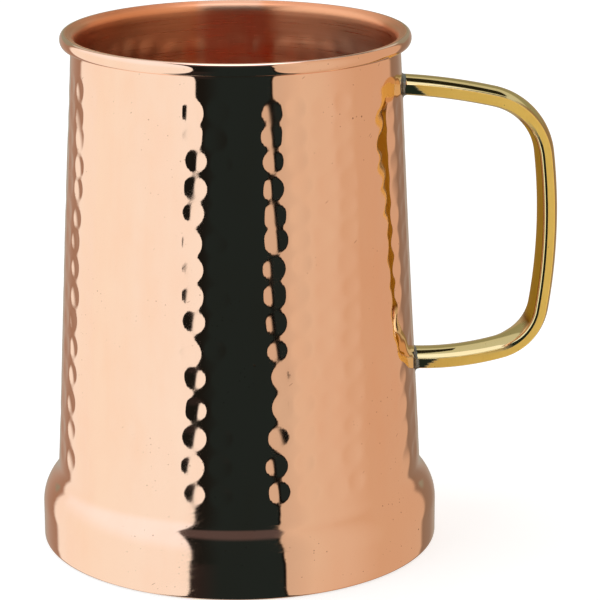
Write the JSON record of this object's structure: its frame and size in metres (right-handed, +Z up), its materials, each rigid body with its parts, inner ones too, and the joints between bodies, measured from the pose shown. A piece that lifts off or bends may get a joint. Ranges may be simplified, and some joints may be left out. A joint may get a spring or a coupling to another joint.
{
  "type": "copper mug",
  "caption": "Hammered copper mug with a tapered wall, rolled lip, stepped foot and a cast brass D handle; holds a cold drink and stands on a table.",
  "frame": {"origin": "centre of the flat underside, on the mug's axis, at the level of the table", "axes": "+Z up along the mug's axis, +X towards the handle, whose middle plane is XZ"},
  "size_m": [0.1275, 0.098, 0.127],
  "materials": {
    "hammered_copper": "hammered and mirror-polished copper outside, satin-brushed copper inside",
    "base_copper": "satin-turned copper",
    "seam_solder": "wiped tin solder",
    "polished_brass": "polished cast brass with fine-sanded side faces",
    "joint_solder": "dark, dulled solder bead"
  },
  "bodies": {
    "root": {"body_shell": "hammered_copper", "base_disc": "base_copper", "base_solder_seam": "seam_solder", "handle": "polished_brass", "upper_handle_solder": "joint_solder", "lower_handle_solder": "joint_solder"}
  },
  "joints": []
}
